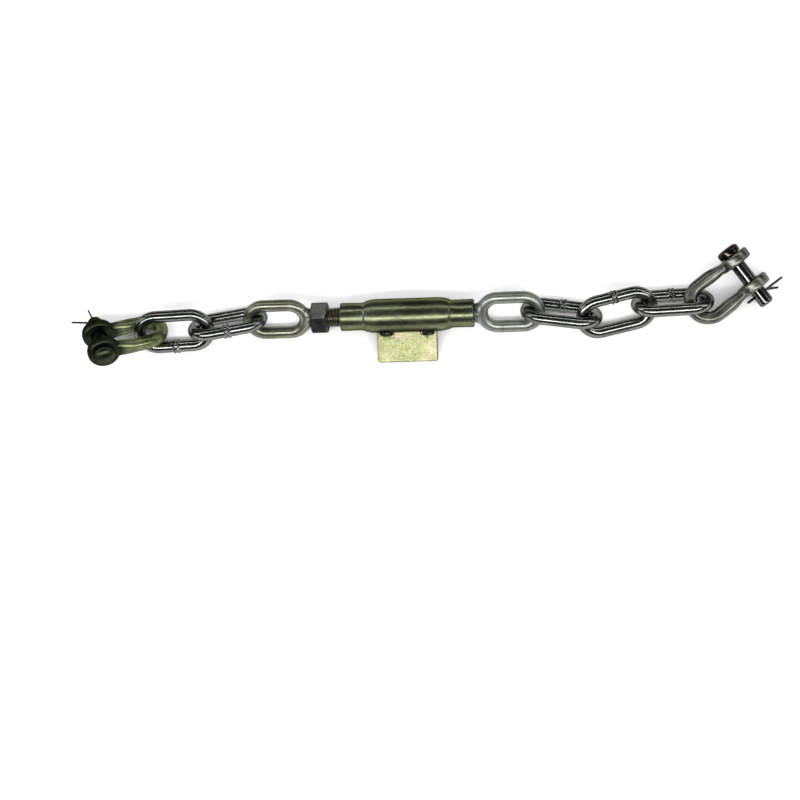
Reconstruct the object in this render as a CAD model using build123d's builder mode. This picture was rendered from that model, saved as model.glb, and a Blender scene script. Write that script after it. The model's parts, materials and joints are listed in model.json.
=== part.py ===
from build123d import *
from math import cos, degrees, radians, sin, sqrt, tan
import os

# Turnbuckle chain load binder: a tube body with an eye bolt at each end, short chains of round links
# and a shackle with a clevis pin at each end. Millimetres, +X along the body, +Z up, lying on z = 0.

# ---- body ----
body_length = 105.6
pipe_diameter = 26.9
pipe_bore = 20.9
swage_diameter = 22.2
swage_length = 19.0
taper_length = 6.4
rim_chamfer = 0.8
axis_height = 14.96

# ---- threaded rods, drawn at their outside diameter ----
rod_diameter = 15.8
rod_clearance = 0.1
rod_inner_end = 3.0
root_diameter = 14.0
tip_chamfer = 1.2

# ---- eyes ----
eye_length = 54.6
eye_width = 35.0
eye_wire = 9.7
eye_gap_left = 23.7
eye_gap_right = 1.2
left_eye_roll = 51.0
right_eye_roll = 46.0
neck_length = 7.0
neck_diameter = 13.0

# ---- lock nut ----
nut_flats = 24.0
nut_thickness = 12.6
nut_from_body = 10.3
nut_crown_angle = 30.0
nut_turn = 108.0
nut_mouth = 0.9

# ---- turning tab ----
tab_width = 47.5
tab_reach = 36.8
tab_thickness = 5.0
tab_corner = 2.2
tab_edge = 0.6
tab_offset = -0.6
tab_droop = 20.35
weld_length = 12.0
weld_diameter = 6.0
weld_root = 14.2
weld_rise = 1.2
weld_spacing = 32.0

# ---- chain links ----
link_length = 64.6
link_width = 37.0
link_wire = 9.4
link_roll = 46.5
seam_diameter = 9.9
seam_length = 3.6
seam_sink = 0.3

# ---- shackles ----
shackle_wire = 10.8
bow_width = 38.4
shackle_length = 54.4
ears_across = 32.8
ear_diameter = 26.0
ear_thickness = 8.4
ear_edge = 1.0
arm_end = 9.6
arm_sweep_radius = 220.0
pin_clearance = 0.3

# ---- clevis pins and split pins ----
pin_diameter = 11.5
head_diameter = 17.6
head_height = 6.4
head_edge = 1.4
head_gap = 0.6
tail_reach = 30.4
tail_chamfer = 1.4
split_reach = 20.6
split_hole = 3.4
split_wire = 2.9
split_stem = 13.6
leg_wire = 1.5
leg_offset = 0.6
split_eye = 2.5
split_eye_wire = 1.6

# each leg: its turn about the clevis pin away from the hole, its lean towards the tail, its length
left_split_turn = 77.0
left_split_legs = ((0.0, 0.0, 13.5), (-60.0, 0.0, 17.4))
right_split_turn = 3.0
right_split_legs = ((0.0, 0.0, 15.6), (0.0, 29.0, 9.8))

# ---- how the chains lie: play left at each hook, heading about Z, and how the shackles lean ----
hook_gap = 0.65
left_2_slack = 2.5
left_bow_slack = 7.0
right_2_slack = 1.95
right_3_slack = 1.9
right_bow_slack = 3.8
left_1_yaw = 8.7
left_2_yaw = 1.9
left_shackle_yaw = 16.5
left_shackle_rise = -13.0
left_shackle_roll = -34.0
right_1_yaw = -8.7
right_2_yaw = 12.7
right_3_yaw = 1.9
right_shackle_yaw = 36.3
right_shackle_rise = 3.4
right_shackle_roll = 15.0

# ---- where the middle of the body lies, so that the origin is under the middle of the whole object ----
middle = Vector(-12.31, -4.07, axis_height)


def tilted(origin, yaw, pitch, roll):
    """A plane turned by roll about X, then raised by pitch, then turned by yaw about Z."""
    return Plane(Location(origin) * Rotation(roll, -pitch, yaw, ordering=Extrinsic.XYZ))


def stepped(plane, distance):
    """The plane moved along its own x."""
    return Plane(plane.origin + plane.x_dir * distance, plane.x_dir, plane.z_dir)


def across(plane, distance):
    """The plane whose normal is the given plane's y, moved along that y; its x is kept."""
    y_dir = plane.z_dir.cross(plane.x_dir)
    return Plane(plane.origin + y_dir * distance, plane.x_dir, y_dir)


def hooked(crown, side, overlap, reach, yaw, pitch, roll):
    """The plane of a loop whose near wire lies `overlap` inside the crown it hooks over."""
    turned = tilted(crown, yaw, pitch, roll)
    return stepped(turned, side * (reach - overlap))


def round_loop(plane, length, width, wire):
    """A closed loop of round wire with its long axis along the plane's x."""
    bend = (width - wire) / 2
    straight = (length - width) / 2
    with BuildLine(plane) as centre_line:
        Line((-straight, -bend), (straight, -bend))
        CenterArc((straight, 0), bend, -90, 180)
        Line((straight, bend), (-straight, bend))
        CenterArc((-straight, 0), bend, 90, 180)
    path = centre_line.wires()[0]
    with BuildSketch(Plane(path @ 0, z_dir=path % 0)) as section:
        Circle(wire / 2)
    sweep(section.sketch, path=path)


def chain_link(plane, seam_side):
    """One welded link, with its flash weld in the middle of one bar."""
    round_loop(plane, link_length, link_width, link_wire)
    y_dir = plane.z_dir.cross(plane.x_dir)
    bar = Plane(plane.origin + y_dir * seam_side * (link_width - link_wire) / 2, plane.x_dir, plane.z_dir)
    with BuildSketch(bar) as swelling:
        with BuildLine():
            skin = link_wire / 2 - seam_sink
            ThreePointArc((-seam_length / 2, skin), (0, seam_diameter / 2), (seam_length / 2, skin))
            Polyline(
                (seam_length / 2, skin),
                (seam_length / 2, 0),
                (-seam_length / 2, 0),
                (-seam_length / 2, skin),
            )
        make_face()
    revolve(swelling.sketch, axis=Axis(bar.origin, bar.x_dir))


def eye_bolt(plane, side, neck_start, shank_end):
    """A forged eye in the plane, and its shank along X from the eye into the body."""
    round_loop(plane, eye_length, eye_width, eye_wire)
    with BuildSketch(Plane.XZ.offset(-middle.Y)) as half_shank:
        with BuildLine():
            Polyline(
                (neck_start, axis_height),
                (neck_start, axis_height + eye_wire / 2),
                (neck_start - side * neck_length / 2, axis_height + neck_diameter / 2),
                (neck_start - side * neck_length, axis_height + root_diameter / 2),
                (neck_start - side * neck_length, axis_height + rod_diameter / 2 - tip_chamfer / 2),
                (neck_start - side * (neck_length + tip_chamfer / 2), axis_height + rod_diameter / 2),
                (shank_end + side * tip_chamfer, axis_height + rod_diameter / 2),
                (shank_end, axis_height + rod_diameter / 2 - tip_chamfer),
                (shank_end, axis_height),
                close=True,
            )
        make_face()
    revolve(half_shank.sketch, axis=Axis(middle, (1, 0, 0)))
    with BuildSketch(plane) as opening:
        SlotOverall(eye_length - 2 * eye_wire, eye_width - 2 * eye_wire)
    extrude(opening.sketch, amount=rod_diameter, both=True, mode=Mode.SUBTRACT)


def shackle(plane):
    """A forged shackle: the pin axis is the plane's y, and the bow lies towards the plane's -x."""
    bend = (bow_width - shackle_wire) / 2
    bow_middle = bow_width / 2 - shackle_length
    arm_angle = degrees((-arm_end - bow_middle) / arm_sweep_radius)
    with BuildLine(plane) as centre_line:
        CenterArc((bow_middle, 0), bend, 90, 180)
        JernArc((bow_middle, bend), (1, 0), arm_sweep_radius, -arm_angle)
        JernArc((bow_middle, -bend), (1, 0), arm_sweep_radius, arm_angle)
    path = centre_line.wires()[0]
    with BuildSketch(Plane(path @ 0, z_dir=path % 0)) as section:
        Circle(shackle_wire / 2)
    sweep(section.sketch, path=path)
    ear_middle = (ears_across - ear_thickness) / 2
    for ear_side in (-1, 1):
        with BuildSketch(plane) as ear_half:
            with Locations((ear_diameter / 4, ear_side * ear_middle)):
                Rectangle(ear_diameter / 2, ear_thickness)
            rim = ear_half.vertices().group_by(Axis(plane.origin, plane.x_dir))[-1]
            fillet(rim, ear_edge)
        revolve(ear_half.sketch, axis=pin_line(plane))
    with BuildSketch(across(plane, 0)) as bore:
        Circle(pin_diameter / 2 + pin_clearance)
    extrude(bore.sketch, amount=ears_across, both=True, mode=Mode.SUBTRACT)


def pin_line(plane):
    """The pin axis of a shackle's plane."""
    return Axis(plane.origin, plane.z_dir.cross(plane.x_dir))


def split_frame(plane, turn):
    """The plane at the split pin's hole: z along the hole, x along the clevis pin towards its tail."""
    y_dir = plane.z_dir.cross(plane.x_dir)
    hole_dir = plane.x_dir * cos(radians(turn)) + plane.z_dir * sin(radians(turn))
    return Plane(plane.origin - y_dir * split_reach, -y_dir, hole_dir)


def clevis_pin(plane, turn):
    """A headed pin with a cross hole near its tail."""
    head_start = ears_across / 2 + head_gap
    with BuildSketch(plane) as half_pin:
        with BuildLine():
            Polyline(
                (0, -tail_reach),
                (pin_diameter / 2 - tail_chamfer, -tail_reach),
                (pin_diameter / 2, tail_chamfer - tail_reach),
                (pin_diameter / 2, head_start),
                (head_diameter / 2 - head_edge / 3, head_start),
                (head_diameter / 2, head_start + head_edge / 3),
                (head_diameter / 2, head_start + head_height - head_edge),
                (head_diameter / 2 - head_edge, head_start + head_height),
                (0, head_start + head_height),
                close=True,
            )
        make_face()
    revolve(half_pin.sketch, axis=pin_line(plane))
    with BuildSketch(split_frame(plane, turn)) as hole:
        Circle(split_hole / 2)
    extrude(hole.sketch, amount=pin_diameter, both=True, mode=Mode.SUBTRACT)


def split_pin(plane, turn, legs):
    """A split pin through the cross hole: an eye, a stem and two legs, each given as its turn about
    the clevis pin away from the hole, its lean towards the tail, and its length."""
    frame = split_frame(plane, turn)
    with BuildSketch(frame) as stem:
        Circle(split_wire / 2)
    extrude(stem.sketch, amount=split_stem / 2, both=True)
    y_dir = frame.z_dir.cross(frame.x_dir)
    eye_middle = frame.origin - frame.z_dir * (split_stem / 2 + split_eye - split_eye_wire / 4)
    with BuildSketch(Plane(eye_middle + y_dir * split_eye, frame.x_dir, y_dir.cross(frame.x_dir))) as ring:
        Circle(split_eye_wire / 2)
    revolve(ring.sketch, axis=Axis(eye_middle, frame.x_dir))
    for leg_side, (leg_turn, lean, length) in zip((-1, 1), legs):
        swung = frame.z_dir.rotate(Axis((0, 0, 0), frame.x_dir), leg_turn)
        aim = swung * cos(radians(lean)) + frame.x_dir * sin(radians(lean))
        foot = frame.origin + frame.z_dir * (split_stem / 2 - leg_wire / 2) + y_dir * leg_side * leg_offset
        with BuildSketch(Plane(foot, z_dir=aim)) as leg:
            Circle(leg_wire / 2)
        extrude(leg.sketch, amount=length)


# ---- where each loop lies ----
left_eye_x = middle.X - body_length / 2 - eye_gap_left - eye_length / 2
right_eye_x = middle.X + body_length / 2 + eye_gap_right + eye_length / 2
left_eye_plane = tilted((left_eye_x, middle.Y, axis_height), 0, 0, left_eye_roll)
right_eye_plane = tilted((right_eye_x, middle.Y, axis_height), 0, 0, right_eye_roll)
eye_half = (eye_length - eye_wire) / 2
link_half = (link_length - link_wire) / 2
pin_half = shackle_length - shackle_wire / 2
eye_overlap = (eye_wire + link_wire) / 2
link_overlap = link_wire
bow_overlap = (link_wire + shackle_wire) / 2


def crown(plane, side, half):
    """The middle of a loop's end wire."""
    return stepped(plane, side * half).origin


left_eye_crown = crown(left_eye_plane, -1, eye_half)
left_1 = hooked(left_eye_crown, -1, eye_overlap + hook_gap, link_half, left_1_yaw, 0, -link_roll)
left_1_crown = crown(left_1, -1, link_half)
left_2 = hooked(left_1_crown, -1, link_overlap + left_2_slack, link_half, left_2_yaw, 0, link_roll)
left_2_crown = crown(left_2, -1, link_half)
left_3 = hooked(
    left_2_crown,
    -1,
    bow_overlap + left_bow_slack,
    pin_half,
    left_shackle_yaw,
    left_shackle_rise,
    left_shackle_roll,
)
right_eye_crown = crown(right_eye_plane, 1, eye_half)
right_1 = hooked(right_eye_crown, 1, eye_overlap + hook_gap, link_half, right_1_yaw, 0, -link_roll)
right_1_crown = crown(right_1, 1, link_half)
right_2 = hooked(right_1_crown, 1, link_overlap + right_2_slack, link_half, right_2_yaw, 0, link_roll)
right_2_crown = crown(right_2, 1, link_half)
right_3 = hooked(right_2_crown, 1, link_overlap + right_3_slack, link_half, right_3_yaw, 0, -link_roll)
right_3_crown = crown(right_3, 1, link_half)
right_4 = hooked(
    right_3_crown,
    1,
    bow_overlap + right_bow_slack,
    pin_half,
    right_shackle_yaw,
    right_shackle_rise,
    right_shackle_roll,
)
left_shackle_plane = Plane(left_3.origin, -left_3.x_dir, left_3.z_dir)
right_shackle_plane = right_4

os.makedirs("parts", exist_ok=True)

# ---- body tube: pipe with both ends swaged down and threaded ----
half_length = body_length / 2
taper_start = half_length - swage_length
taper_end = taper_start - taper_length
thread_bore = rod_diameter / 2 + rod_clearance
with BuildPart() as body_tube:
    with BuildSketch(Plane(middle, (1, 0, 0), (0, -1, 0))):
        with BuildLine():
            Polyline(
                (0, pipe_bore / 2),
                (taper_end, pipe_bore / 2),
                (taper_start, thread_bore),
                (half_length, thread_bore),
                (half_length, swage_diameter / 2 - rim_chamfer),
                (half_length - rim_chamfer, swage_diameter / 2),
                (taper_start, swage_diameter / 2),
                (taper_end, pipe_diameter / 2),
                (0, pipe_diameter / 2),
                close=True,
            )
        make_face()
        mirror(about=Plane.YZ)
    revolve(axis=Axis(middle, (1, 0, 0)))
body_tube.part.label = "body_tube"
export_step(body_tube.part, "parts/body_tube.step")

# ---- turning tab: a flat plate that stands out from the body and leans on the floor ----
droop = radians(tab_droop)
tab_plane = Plane(middle, (1, 0, 0), (0, sin(droop), -cos(droop)))
tab_root = pipe_diameter / 2 - 1
with BuildPart() as turning_tab:
    with BuildSketch(tab_plane):
        with Locations((tab_offset, (tab_root + tab_reach) / 2)):
            Rectangle(tab_width, tab_reach - tab_root)
        fillet(vertices().group_by(Axis.Y)[-1], tab_corner)
    extrude(amount=tab_thickness / 2, both=True)
    chamfer(edges().filter_by(GeomType.LINE).filter_by(Axis.X), tab_edge)
    with BuildSketch(Plane(middle, (0, 1, 0), (1, 0, 0))) as pipe_section:
        Circle(pipe_diameter / 2)
    extrude(amount=body_length / 2, both=True, mode=Mode.SUBTRACT)
turning_tab.part.label = "turning_tab"
export_step(turning_tab.part, "parts/turning_tab.step")

# ---- tack welds where the tab's upper face meets the body ----
for name, weld_side in (("tab_weld_left", -1), ("tab_weld_right", 1)):
    with BuildPart() as tab_weld:
        weld_x = tab_offset + weld_side * weld_spacing / 2
        bead = Plane(
            tab_plane.from_local_coords(Vector(weld_x, weld_root, -tab_thickness / 2 - weld_rise)),
            tab_plane.x_dir,
            tab_plane.z_dir,
        )
        with BuildSketch(bead) as bead_half:
            SlotOverall(weld_length, weld_diameter)
            split(bisect_by=Plane.XZ)
        revolve(bead_half.sketch, axis=Axis(bead.origin, bead.x_dir))
        with BuildSketch(Plane(middle, (0, 1, 0), (1, 0, 0))) as pipe_section:
            Circle(pipe_diameter / 2)
        extrude(pipe_section.sketch, amount=body_length / 2, both=True, mode=Mode.SUBTRACT)
        with BuildSketch(tab_plane) as plate_section:
            with Locations((tab_offset, tab_reach / 2)):
                Rectangle(tab_width, tab_reach)
        extrude(plate_section.sketch, amount=tab_thickness / 2, both=True, mode=Mode.SUBTRACT)
    tab_weld.part.label = name
    export_step(tab_weld.part, f"parts/{name}.step")

# ---- eye bolts: the left one stands out of the body, the right one is run fully in ----
with BuildPart() as left_eye_bolt:
    left_neck = left_eye_x + (eye_length - eye_wire) / 2
    eye_bolt(left_eye_plane, -1, left_neck, middle.X - rod_inner_end)
left_eye_bolt.part.label = "left_eye_bolt"
export_step(left_eye_bolt.part, "parts/left_eye_bolt.step")

with BuildPart() as right_eye_bolt:
    right_neck = right_eye_x - (eye_length - eye_wire) / 2
    eye_bolt(right_eye_plane, 1, right_neck, middle.X + rod_inner_end)
right_eye_bolt.part.label = "right_eye_bolt"
export_step(right_eye_bolt.part, "parts/right_eye_bolt.step")

# ---- lock nut: a hexagon with both faces' corners turned off ----
nut_right = middle.X - half_length - nut_from_body
nut_plane = Plane((nut_right - nut_thickness, middle.Y, axis_height), (0, 1, 0), (1, 0, 0))
nut_corners = nut_flats / sqrt(3)
nut_corner_drop = (nut_corners - nut_flats / 2) * tan(radians(nut_crown_angle))
with BuildPart() as lock_nut:
    with BuildSketch(nut_plane):
        RegularPolygon(nut_corners, 6, rotation=nut_turn)
    extrude(amount=nut_thickness)
    with BuildSketch(Plane(nut_plane.origin, (1, 0, 0), (0, -1, 0))) as crowned:
        Polygon(
            (nut_mouth, thread_bore),
            (0, thread_bore + nut_mouth),
            (0, nut_flats / 2),
            (nut_corner_drop, nut_corners),
            (nut_thickness - nut_corner_drop, nut_corners),
            (nut_thickness, nut_flats / 2),
            (nut_thickness, thread_bore + nut_mouth),
            (nut_thickness - nut_mouth, thread_bore),
            align=None,
        )
    revolve(crowned.sketch, axis=Axis(nut_plane.origin, (1, 0, 0)), mode=Mode.INTERSECT)
lock_nut.part.label = "lock_nut"
export_step(lock_nut.part, "parts/lock_nut.step")

# ---- chain links: each lies on the floor on one bar, turned the other way from its neighbours ----
links = {
    "left_link_1": (left_1, -1),
    "left_link_2": (left_2, -1),
    "right_link_1": (right_1, -1),
    "right_link_2": (right_2, 1),
    "right_link_3": (right_3, 1),
}
for name, (link_plane, seam_side) in links.items():
    with BuildPart() as link:
        chain_link(link_plane, seam_side)
    link.part.label = name
    export_step(link.part, f"parts/{name}.step")

# ---- shackles, clevis pins and split pins ----
hardware = {
    "left": (left_shackle_plane, left_split_turn, left_split_legs),
    "right": (right_shackle_plane, right_split_turn, right_split_legs),
}
for side_name, (plane, turn, legs) in hardware.items():
    with BuildPart() as shackle_body:
        shackle(plane)
    shackle_body.part.label = f"{side_name}_shackle"
    export_step(shackle_body.part, f"parts/{side_name}_shackle.step")

    with BuildPart() as clevis:
        clevis_pin(plane, turn)
    clevis.part.label = f"{side_name}_clevis_pin"
    export_step(clevis.part, f"parts/{side_name}_clevis_pin.step")

    with BuildPart() as cotter:
        split_pin(plane, turn, legs)
    cotter.part.label = f"{side_name}_split_pin"
    export_step(cotter.part, f"parts/{side_name}_split_pin.step")
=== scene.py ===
import json
import math

import bmesh
import bpy
import numpy as np
from mathutils import Matrix, Vector, noise


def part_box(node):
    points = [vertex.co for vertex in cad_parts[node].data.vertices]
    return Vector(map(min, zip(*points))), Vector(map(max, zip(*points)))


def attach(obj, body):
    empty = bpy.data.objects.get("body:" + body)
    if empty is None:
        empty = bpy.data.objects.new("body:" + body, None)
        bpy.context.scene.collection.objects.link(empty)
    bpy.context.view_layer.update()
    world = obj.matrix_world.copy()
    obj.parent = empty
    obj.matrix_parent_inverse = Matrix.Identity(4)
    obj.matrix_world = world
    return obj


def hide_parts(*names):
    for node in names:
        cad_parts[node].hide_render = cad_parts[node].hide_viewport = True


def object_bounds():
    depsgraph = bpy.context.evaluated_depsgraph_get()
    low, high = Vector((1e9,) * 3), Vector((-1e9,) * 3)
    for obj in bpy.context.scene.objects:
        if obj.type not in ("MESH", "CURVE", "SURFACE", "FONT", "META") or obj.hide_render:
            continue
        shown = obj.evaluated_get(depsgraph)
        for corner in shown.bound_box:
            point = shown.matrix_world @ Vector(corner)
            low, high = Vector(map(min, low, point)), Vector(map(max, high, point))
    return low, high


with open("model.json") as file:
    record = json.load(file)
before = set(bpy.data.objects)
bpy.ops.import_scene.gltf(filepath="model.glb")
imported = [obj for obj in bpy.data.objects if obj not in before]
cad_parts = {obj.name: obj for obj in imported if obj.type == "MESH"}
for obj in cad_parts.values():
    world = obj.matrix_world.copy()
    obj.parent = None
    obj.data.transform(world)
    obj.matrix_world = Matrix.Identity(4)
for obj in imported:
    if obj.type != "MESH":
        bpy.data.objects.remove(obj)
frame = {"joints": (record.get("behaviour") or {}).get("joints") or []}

# noise_vector takes its offsets from this seed, and from the clock without it
noise.seed_set(11)

cad_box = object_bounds()

# Turnbuckle chain load binder. Shapes are worked out in millimetres and written in metres.
MM = 0.001
TAU = 2 * math.pi

# ---- sizes that the CAD source gives ----
BODY_LENGTH = 105.6
PIPE_RADIUS = 13.45
PIPE_BORE = 10.45
SWAGE_RADIUS = 11.1
SWAGE_LENGTH = 19.0
TAPER_LENGTH = 6.4
THREAD_BORE = 8.0
ROD_RADIUS = 7.9
ROD_INNER_END = 3.0
EYE_LENGTH = 54.6
EYE_WIDTH = 35.0
EYE_WIRE = 9.7
NUT_FLATS = 24.0
NUT_THICKNESS = 12.6
NUT_TURN = 108.0
TAB_WIDTH = 47.5
TAB_REACH = 36.8
TAB_THICKNESS = 5.0
TAB_OFFSET = -0.6
TAB_DROOP = 20.35
WELD_ROOT = 14.2
WELD_RISE = 1.2
WELD_SPACING = 32.0
LINK_LENGTH = 64.6
LINK_WIDTH = 37.0
LINK_WIRE = 9.4
LINK_ROLL = 46.5
SHACKLE_WIRE = 10.8
BOW_WIDTH = 38.4
SHACKLE_LENGTH = 54.4
EARS_ACROSS = 32.8
EAR_RADIUS = 13.0
EAR_THICKNESS = 8.4
ARM_END = 9.6
ARM_SWEEP_RADIUS = 220.0
PIN_RADIUS = 5.75
PIN_CLEARANCE = 0.3
HEAD_RADIUS = 8.8
HEAD_HEIGHT = 6.4
HEAD_GAP = 0.6
TAIL_REACH = 30.4
SPLIT_REACH = 20.6
SPLIT_HOLE = 1.7
SPLIT_STEM = 13.6
SPLIT_EYE = 2.5
LEG_RADIUS = 0.75
LEG_OFFSET = 0.62
LEFT_SPLIT = (77.0, ((0.0, 0.0, 13.5), (-60.0, 0.0, 17.4)))
RIGHT_SPLIT = (3.0, ((0.0, 0.0, 15.6), (0.0, 29.0, 9.8)))

# ---- sizes that only the visual model has ----
NECK_SHOWN = 2.4

# ---- camera, as the photograph was taken ----
CAMERA_ELEVATION = 72.0
CAMERA_LEAN = 4.87
CAMERA_ROLL = -1.82
CAMERA_DISTANCE = 1400.0
CAMERA_LENS = 79.8
AIM_RIGHT = -5.76
AIM_UP = -67.1

JOINTS = {j["name"]: j for j in frame["joints"]}


# ------------------------------------------------------------------ places
def joint_at(name):
    return np.array(JOINTS[name]["pos_m"]) / MM


def joint_axis(name):
    return np.array(JOINTS[name]["axis"], float)


def unit(v):
    return v / np.linalg.norm(v)


class Spot:
    """A place with three axes, in millimetres: y is taken at right angles to x, and z completes them."""

    def __init__(self, origin, x_dir, y_dir):
        self.o = np.array(origin, float)
        self.x = unit(np.array(x_dir, float))
        y_dir = np.array(y_dir, float)
        self.y = unit(y_dir - self.x * (y_dir @ self.x))
        self.z = np.cross(self.x, self.y)

    def out(self, local):
        local = np.asarray(local, float)
        return self.o + local[..., :1] * self.x + local[..., 1:2] * self.y + local[..., 2:3] * self.z

    def at(self, x, y, z):
        return self.o + x * self.x + y * self.y + z * self.z


MIDDLE = joint_at("body_turn")
X_DIR = np.array((1.0, 0.0, 0.0))
EYE_HALF = (EYE_LENGTH - EYE_WIRE) / 2
LINK_HALF = (LINK_LENGTH - LINK_WIRE) / 2


def eye_spot(hook, side):
    """The plane of an eye whose crown is where the next link hooks on."""
    return Spot(joint_at(hook) - X_DIR * side * EYE_HALF, X_DIR, joint_axis(hook))


def link_spot(own, following, side, roll):
    """The plane of a link, from the crown that it hooks over to the crown that it carries, and its roll."""
    x_dir = unit(joint_at(following) - joint_at(own)) * side
    level = np.cross((0, 0, 1), x_dir)
    y_dir = level * math.cos(math.radians(roll)) + np.array((0, 0, 1)) * math.sin(math.radians(roll))
    return Spot(joint_at(following) - x_dir * side * LINK_HALF, x_dir, y_dir)


def shackle_spot(own, pin):
    """The plane of a shackle: the pin axis is its y, and the bow lies towards its -x."""
    return Spot(joint_at(pin), joint_at(pin) - joint_at(own), joint_axis(pin))


# ------------------------------------------------------------------ meshes
def skin(rings, looped=False):
    """Vertices and faces that join rings of points, with a cap at each end unless looped."""
    count, sides = rings.shape[:2]
    verts = rings.reshape(-1, 3)
    index = np.arange(count * sides).reshape(count, sides)
    first = index if looped else index[:-1]
    second = np.roll(index, -1, axis=0) if looped else index[1:]
    quads = np.stack([first, np.roll(first, -1, axis=1), np.roll(second, -1, axis=1), second], axis=-1)
    faces = quads.reshape(-1, 4).tolist()
    if not looped:
        tips = np.array([rings[0].mean(0), rings[-1].mean(0)])
        verts = np.vstack([verts, tips])
        for tip, ring in ((count * sides, index[0]), (count * sides + 1, index[-1])):
            faces += [[tip, int(a), int(b)] for a, b in zip(ring, np.roll(ring, -1))]
    return verts, faces


def joined(*parts):
    """Several (vertices, faces) as one."""
    verts, faces = [], []
    for v, f in parts:
        base = sum(len(x) for x in verts)
        verts.append(v)
        faces += [[i + base for i in face] for face in f]
    return np.vstack(verts), faces


def raw_object(name, verts, faces):
    mesh = bpy.data.meshes.new(name)
    mesh.from_pydata((np.asarray(verts) * MM).tolist(), [], faces)
    built = bmesh.new()
    built.from_mesh(mesh)
    bmesh.ops.recalc_face_normals(built, faces=built.faces)
    built.to_mesh(mesh)
    built.free()
    obj = bpy.data.objects.new(name, mesh)
    bpy.context.scene.collection.objects.link(obj)
    return obj


def settled(obj):
    """The object's modifiers, applied to its mesh."""
    bpy.context.view_layer.update()
    depsgraph = bpy.context.evaluated_depsgraph_get()
    mesh = bpy.data.meshes.new_from_object(obj.evaluated_get(depsgraph))
    obj.modifiers.clear()
    obj.data = mesh
    return obj


def fused(obj, voxel, rounds):
    """Overlapping solids made into one skin, then smoothed like a forging."""
    remesh = obj.modifiers.new("fuse", "REMESH")
    remesh.mode = "VOXEL"
    remesh.voxel_size = voxel * MM
    soften = obj.modifiers.new("soften", "SMOOTH")
    soften.factor = 0.5
    soften.iterations = rounds
    return settled(obj)


def cut(obj, tool):
    """The object less the tool's solid."""
    boolean = obj.modifiers.new("cut", "BOOLEAN")
    boolean.operation = "DIFFERENCE"
    boolean.solver = "EXACT"
    boolean.object = tool
    settled(obj)
    bpy.data.objects.remove(tool)
    return obj


def lumpy(verts, amount, size, seed):
    """Points moved a little by smooth noise, for the unevenness of forged and drawn metal."""
    offset = Vector((seed * 7.3, seed * 3.1, seed * 5.7))
    moved = [noise.noise_vector(Vector(v) / size + offset) for v in verts.tolist()]
    return verts + np.array(moved) * amount


def lumpy_object(obj, amount, size, seed):
    co = np.zeros(len(obj.data.vertices) * 3)
    obj.data.vertices.foreach_get("co", co)
    verts = lumpy(co.reshape(-1, 3) / MM, amount, size, seed)
    obj.data.vertices.foreach_set("co", (verts * MM).ravel())
    return obj


def dress(obj, material, body, nodes, crease=38.0):
    """Shading, material, body, slot and the CAD nodes that the piece stands for."""
    obj.data.shade_smooth()
    obj.data.set_sharp_from_angle(angle=math.radians(crease))
    obj.data.materials.clear()
    obj.data.materials.append(material)
    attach(obj, body)
    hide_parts(*nodes)
    return obj


def eased(points, radius, steps=4, closed=False):
    """An outline with its corners rounded."""
    points = [np.array(p, float) for p in points]
    count = len(points)
    out = []
    for i, corner in enumerate(points):
        if not closed and i in (0, count - 1):
            out.append(corner)
            continue
        before = points[i - 1] - corner
        after = points[(i + 1) % count] - corner
        start = corner + unit(before) * min(radius, np.linalg.norm(before) * 0.45)
        end = corner + unit(after) * min(radius, np.linalg.norm(after) * 0.45)
        for t in np.linspace(0, 1, steps + 1):
            out.append(start * (1 - t) ** 2 + 2 * corner * t * (1 - t) + end * t * t)
    return np.array(out)


def divided(points, step, closed=False):
    """An outline with points added so that none are further apart than the step."""
    out = []
    ends = list(points[1:]) + ([points[0]] if closed else [])
    for a, b in zip(points, ends):
        pieces = max(1, math.ceil(np.linalg.norm(b - a) / step))
        out += [a + (b - a) * i / pieces for i in range(pieces)]
    if not closed:
        out.append(points[-1])
    return np.array(out)


def lathe(spot, profile, sides):
    """Rings of a turned shape about the spot's x, from (x, radius) points."""
    turn = np.arange(sides) / sides * TAU
    profile = np.asarray(profile, float)
    local = np.zeros((len(profile), sides, 3))
    local[..., 0] = profile[:, :1]
    local[..., 1] = profile[:, 1:2] * np.cos(turn)
    local[..., 2] = profile[:, 1:2] * np.sin(turn)
    return spot.out(local)


def pin_spot(spot):
    """The same place with its x along the pin."""
    return Spot(spot.o, spot.y, spot.z)


# ------------------------------------------------------------------ loops of wire
def stadium(straight, bend, seam_side, fine, spread):
    """Points and outward normals round a loop that starts at the middle of one bar, with close points there."""
    total = 4 * straight + TAU * bend
    near = np.linspace(-fine, fine, 45)
    far = np.linspace(fine, total - fine, spread)[1:-1]
    points, normals, lengths = [], [], []
    for t in np.concatenate([near, far]):
        s = t % total
        if s < straight or s >= total - straight:
            s = s if s < straight else s - total
            p, n = (s, bend), (0.0, 1.0)
        elif s < straight + math.pi * bend:
            a = math.pi / 2 - (s - straight) / bend
            p, n = (straight + bend * math.cos(a), bend * math.sin(a)), (math.cos(a), math.sin(a))
        elif s < 3 * straight + math.pi * bend:
            p, n = (2 * straight + math.pi * bend - s, -bend), (0.0, -1.0)
        else:
            a = -math.pi / 2 - (s - 3 * straight - math.pi * bend) / bend
            p, n = (-straight + bend * math.cos(a), bend * math.sin(a)), (math.cos(a), math.sin(a))
        points.append((p[0], p[1] * seam_side))
        normals.append((n[0], n[1] * seam_side))
        lengths.append(t)
    return np.array(points), np.array(normals), np.array(lengths)


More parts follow.
